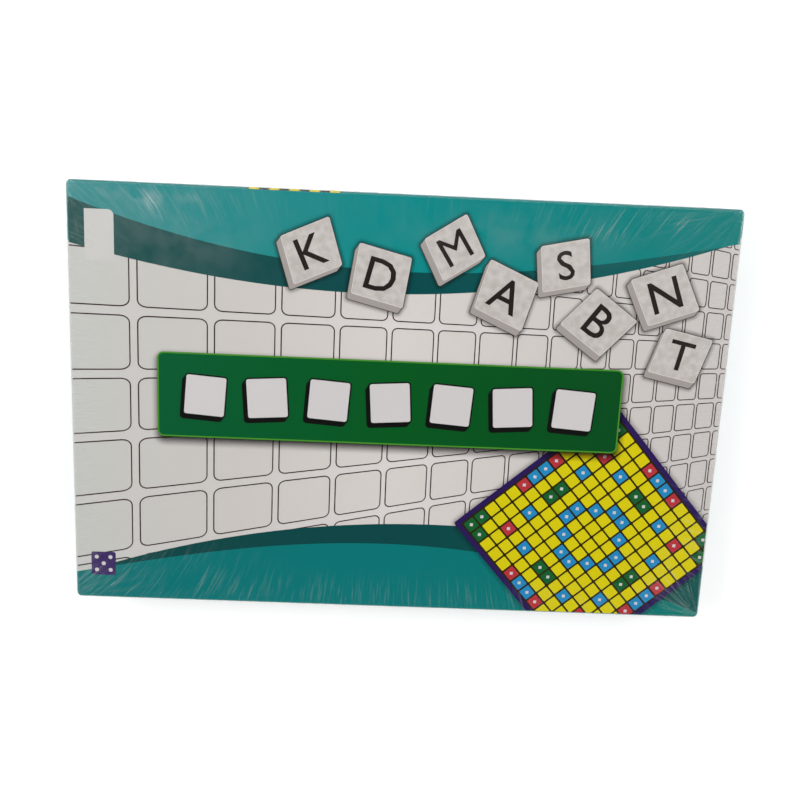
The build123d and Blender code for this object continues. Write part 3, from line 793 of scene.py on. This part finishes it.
# A thin film turns back as little light from below as from above, so its IOR is inverted there
behind = add_node(tree, "NewGeometry", output="Backfacing")
film_ior = add_node(tree, "MapRange", {"Value": behind, "To Min": film_index, "To Max": 1 / film_index})
shine = add_node(tree, "Fresnel", {"IOR": film_ior, "Normal": bumps})
clear = add_node(tree, "MixShader", {0: shine, 1: through, 2: mirror})
add_node(tree, "MixShader", {0: milk_and_glint_amount, 1: clear, 2: milk_and_glint_white}, tree.nodes["Material Output"].inputs["Surface"])

# The film's top is a grid, and its walls hang from the grid's edge, whose places go round the box
half_x = wrap_high.x + film_stand - film_bend
half_y = wrap_high.y + film_stand - film_bend
columns = round(2 * half_x / film_pitch) + 1
rows = round(2 * half_y / film_pitch) + 1
film_x, film_y = np.meshgrid(np.linspace(-half_x, half_x, columns), np.linspace(-half_y, half_y, rows))
flat_places = np.dstack([film_x, film_y])
edge_index = np.concatenate([
    np.arange(columns - 1), (np.arange(rows - 1) + 1) * columns - 1,
    rows * columns - 1 - np.arange(columns - 1), (rows - 1 - np.arange(rows - 1)) * columns])
from_side, from_end = half_x - np.abs(film_x), half_y - np.abs(film_y)
from_corner = np.hypot(from_side, from_end)
# Folds out of each corner: its sides, how many and the longest in mm
corner_folds = ((1, -1, 5, 62), (-1, -1, 3, 30), (-1, 1, 4, 36), (1, 1, 4, 36))
front_share = 0.45
# Short folds near the back edge: where each starts and how long it is, in mm
back_folds = ((-146, 112, 17), (-139, 108, 13), (-118, 109, 9), (132, 97, 11), (140, 99, 9), (146, 98, 8))
crinkles = 7
fold_limit = 0.75 * mm


def fold(places, start, end, width, height):
    """A crease: a tent along a segment, which widens as it runs out and sinks from its start to its end."""
    start, run = np.asarray(start), np.subtract(end, start)
    along = np.clip((places - start) @ run / (run @ run), 0, 1)
    apart = np.linalg.norm(places - start - along[..., None] * run, axis=-1)
    spread = width * (0.35 + 0.9 * along)
    return height * np.maximum(0, 1 - apart / spread) * (1 - along) * np.minimum(1, along * 8 + 0.1)


def rising(values, start, stop):
    """None up to a start, one from a stop on, and evenly more between them."""
    return np.clip((values - start) / (stop - start), 0, 1)


def soft_spot(middle_x, middle_y, half_wide, half_deep, strength):
    """A soft spot on the film: a strength times a Gaussian of a middle and half widths in mm."""
    across, along = (film_x / mm - middle_x) / half_wide, (film_y / mm - middle_y) / half_deep
    return strength * np.exp(-across ** 2 - along ** 2)


draw = np.random.default_rng(5)
folds = []
for sign_x, sign_y, count, longest in corner_folds:
    corner = np.array([sign_x * half_x, sign_y * half_y])
    for angle in np.radians(np.linspace(14, 74, count) + draw.uniform(-4, 4, count)):
        way = -np.array([sign_x * np.cos(angle), sign_y * np.sin(angle)])
        reach = longest * mm * draw.uniform(0.6, 1)
        width = draw.uniform(1.6, 2.4) * mm
        height = draw.uniform(0.12, 0.32) * (1 if sign_y > 0 else front_share) * mm
        folds.append((corner + way * 2 * mm, corner + way * reach, width, height))
for start_x, start_y, reach in back_folds:
    start = np.array([start_x, start_y]) * mm
    run = np.array([0.55 if start_x < 0 else -0.5, -0.8]) * reach * mm
    folds.append((start, start + run, 2.2 * mm, 0.4 * mm))
for start_y in draw.uniform(-30, 20, crinkles):
    start = np.array([half_x - draw.uniform(1, 3) * mm, start_y * mm])
    run = np.array([draw.uniform(-3, -1), draw.uniform(-9, 9)]) * mm
    folds.append((start, start + run, 1.8 * mm, 0.3 * mm))
lift = fold_limit * np.tanh(sum(fold(flat_places, *crease) for crease in folds) / fold_limit)
lift *= rising(np.minimum(from_side, from_end), 0, 3 * mm)

# Streaks come off the sides and the ends and fan out of the corners, and soft spots add to them.
# The first spots strengthen streaks whose bumps mirror the lamps and whose milky white is partly
# painted glint; the second are painted glints and broad reflections in milky white. Along the streaks
# and on the walls a little of that white is the film's haze.
streak_and_glint_spots = ((-132, 106, 14, 7, 1.3), (-141, 112, 7, 4.5, 2.2), (-120, 113, 4, 3, 1.5),
             (112, 104, 13, 6, 1.1), (150, 111, 11, 5, 1.1))
# Painted glints and broad reflections, as soft spots of milky white
painted_glint_spots = ((-125, 92, 45, 26, 0.045), (60, 100, 60, 14, 0.04), (-141, 112, 9, 5, 0.16),
               (-120, 113, 5, 2.5, 0.12), (-160, 115, 9, 3, 0.12), (-180.5, 101, 2.2, 9, 0.05))
wall_milk = 0.02
wall_strength = 0.5
at_corner = np.exp(-(from_corner / (38 * mm)) ** 2)
front_left = (film_y < 0) * rising(-film_x, 60 * mm, 140 * mm)
back_share = 0.15 + 0.35 * rising(np.abs(film_x), 60 * mm, 120 * mm)
end_share = np.where(film_y > 0, back_share, 0.5 + 0.2 * front_left)
end_lean = 1.3 * np.sign(film_x) * np.abs(film_x / half_x) ** 1.6
end_strength = end_share * np.exp(-(from_end / ((15 + 18 * front_left) * mm)) ** 2)
end_strength += sum(soft_spot(*spot) for spot in streak_and_glint_spots)
side_strength = 1.1 * np.exp(-(from_side / (17 * mm)) ** 2)
fan_strength = np.where(film_y > 0, np.where(film_x > 0, 0.5, 0.3), np.where(film_x > 0, 0.9, 0.25))
fan_across = (np.arctan2(from_end, from_side) * 24 + np.sign(film_x) * 70 + np.sign(film_y) * 130) * mm
# Each streak map holds the place across the streaks, the place along them, and how strong they are
streak_maps = {
    "side": (film_y / (1 - 0.6 * from_side / half_y), from_side, side_strength * (1 - 0.9 * at_corner)),
    "end": (film_x + end_lean * from_end, from_end, end_strength * (1 - 0.8 * at_corner * (film_x > 0))),
    "fan": (fan_across, from_corner, fan_strength * at_corner),
}
milk_and_glint_share = sum(soft_spot(*spot) for spot in painted_glint_spots) + sum(
    share * streak_maps[kind][2] for kind, share in (("side", 0.005), ("end", 0.006), ("fan", 0.01)))

# The film turns down over the lid's edge in a round bend and falls to the weld in slow waves
top_places = np.dstack([flat_places, wrap_high.z + film_lift + lift]).reshape(-1, 3)
edge_places = top_places[edge_index, :2]
edge_way = np.sign(edge_places) * (np.abs(edge_places) > np.array([half_x, half_y]) - 1e-6)
edge_way /= np.linalg.norm(edge_way, axis=1, keepdims=True)
is_corner = np.abs(edge_way).min(1) > 0.1
edge_places[is_corner] -= np.sign(edge_places[is_corner]) * film_pitch * (1 - np.sqrt(0.5))
top_places[edge_index, :2] = edge_places
bend_turn = np.radians(np.linspace(0, 90, bend_rings + 1)[1:])
bend_level = wrap_high.z + film_lift - film_bend
bend_out = np.concatenate([film_bend * np.sin(bend_turn), np.full(wall_rings, film_bend)])
bend_height = np.concatenate([bend_level + film_bend * np.cos(bend_turn),
                              np.linspace(bend_level, film_low.z, wall_rings + 1)[1:]])
loop = distance_along(edge_places)
down = (bend_level - np.minimum(bend_height, bend_level))[:, None]
pull = rising(down, 0, 4 * mm) * rising(bend_level - film_low.z - down, 0, 3 * mm)
wall_wave = sum(np.sin(loop / (period * mm) * 2 * np.pi + 3 * np.sin(down / (9 * mm)) + period)
                for period in (7.1, 11.3, 17.9)) / 3
wall_out = bend_out[:, None] + 0.15 * mm * wall_wave * pull
wall_places = np.concatenate([edge_places + edge_way * wall_out[..., None],
                              np.broadcast_to(bend_height[:, None, None], wall_out.shape + (1,))], -1)
ring_index = np.vstack([edge_index, columns * rows + np.arange(wall_out.size).reshape(wall_out.shape)])
film_piece = new_piece(
    "film_over_lid", np.vstack([top_places, wall_places.reshape(-1, 3)]),
    np.vstack([grid_faces(rows, columns), ring_faces(ring_index)]), film, "lid", "shrink_film", True)
for kind, parts in streak_maps.items():
    top_values = np.dstack(parts).reshape(-1, 3)
    wall_values = np.broadcast_to(top_values[edge_index], wall_out.shape + (3,)).copy()
    wall_values[..., 1] -= down
    wall_values[..., 2] *= wall_strength
    mark_places(film_piece, f"streak_{kind}", np.vstack([top_values, wall_values.reshape(-1, 3)]))
mark_places(film_piece, "milk_and_painted_glint", np.concatenate([milk_and_glint_share.ravel(), np.full(wall_out.size, wall_milk)]))
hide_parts("film_upper")
dress(film, "film_seal_bead", "film_lower_sides", "film_underside")

# Studio: a pale floor, whose glow grows outwards and only the camera and reflections see, a white
# surround seen the same way, four soft lamps, and a black felt flag over the box, which the flat film
# mirrors in place of the surround.
sheet_corners = ((-1, -1), (1, -1), (1, 1), (-1, 1))
floor_half = 4.0
floor_drop = 0.2 * mm
flag_middle = (0.04, -0.42, 1.65)
flag_half = (0.95, 0.70)
# Each lamp: its place, its power in watts, and how wide and how high it is
lamps = {
    "left": ((-0.95, 0.4, 1.15), 9.4, 0.6, 0.6), "right": ((1.0, 0.35, 1.1), 6.8, 0.6, 0.6),
    "front": ((0.0, -1.2, 1.0), 2.4, 1.0, 0.4), "back": ((0.0, 0.95, 0.9), 3.4, 1.0, 0.4),
}


def studio_sheet(name, places, paint):
    """A flat sheet of the studio from its four places. It isn't part of the object."""
    sheet = bpy.data.objects.new(name, bpy.data.meshes.new(name))
    sheet.data.from_pydata(places, [], [(0, 1, 2, 3)])
    sheet.data.materials.append(paint)
    scene.collection.objects.link(sheet)
    sheet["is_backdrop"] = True
    return sheet


def seen_share(tree):
    """One on the rays that show the studio white: the camera's, a mirror's and those through a film."""
    path = add_node(tree, "LightPath").node.outputs
    seen = add_node(tree, "Math", {0: path["Is Camera Ray"], 1: path["Is Glossy Ray"]}, operation="ADD")
    return add_node(tree, "Math", {0: seen, 1: path["Is Transmission Ray"]}, operation="ADD", use_clamp=True)


floor_paint, tree, shader, place = new_material(
    "studio_floor_white", "#f2f2f2", 0.9, Specular_IOR_Level=0.0)
away = add_node(tree, "VectorMath", {0: place}, output="Value", operation="LENGTH")
glow = add_node(tree, "MapRange", {"Value": away, "From Min": 0.25, "From Max": 0.9, "To Min": 0.3})
add_node(tree, "Math", {0: seen_share(tree), 1: glow}, shader["Emission Strength"], operation="MULTIPLY")
studio_sheet("studio_floor", [(x * floor_half, y * floor_half, -floor_drop) for x, y in sheet_corners],
             floor_paint)
scene.world = bpy.data.worlds.new("studio_surround")
scene.world.use_nodes = True
tree = scene.world.node_tree
strength = add_node(tree, "MapRange", {"Value": seen_share(tree), "To Min": 0.37})
add_node(tree, "Background", {"Color": (1, 1, 1, 1), "Strength": strength},
         tree.nodes["World Output"].inputs["Surface"])
for name, (place, power, width, height) in lamps.items():
    light = bpy.data.lights.new(f"lamp_{name}", "AREA")
    light.shape = "RECTANGLE"
    light.size = width
    light.size_y = height
    light.energy = power
    lamp = bpy.data.objects.new(f"lamp_{name}", light)
    scene.collection.objects.link(lamp)
    turn = (-Vector(place)).to_track_quat("-Z", "Y")
    lamp.matrix_world = Matrix.Translation(place) @ turn.to_matrix().to_4x4()
# The flag faces down, so its corners go round the other way
flag_felt = new_material("studio_flag_black", "#050505", 1.0, Specular_IOR_Level=0.0)[0]
flag = studio_sheet("studio_flag", [
    (flag_middle[0] + x * flag_half[0], flag_middle[1] + y * flag_half[1], flag_middle[2])
    for y, x in sheet_corners], flag_felt)
for ray in ("camera", "diffuse", "shadow", "transmission"):
    setattr(flag, f"visible_{ray}", False)

# Camera: above the box and a little behind it, looking down and forward, with a slight roll.
eye = Vector((-0.0130, 0.1200, 0.5721))
aim = Vector((0.0005, 0.0060, 0.0404))
roll = np.radians(2.614)
back = (eye - aim).normalized()
right = Vector((0, 1, 0)).cross(back).normalized()
up = back.cross(right)
right, up = np.cos(roll) * right + np.sin(roll) * up, np.cos(roll) * up - np.sin(roll) * right
camera = bpy.data.objects.new("camera", bpy.data.cameras.new("camera"))
camera.data.lens = 42.96
camera.data.sensor_width = 36
camera.matrix_world = Matrix.Translation(eye) @ Matrix((right, up, back)).transposed().to_4x4()
scene.collection.objects.link(camera)
scene.camera = camera
scene.view_settings.view_transform = "Standard"

low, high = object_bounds()
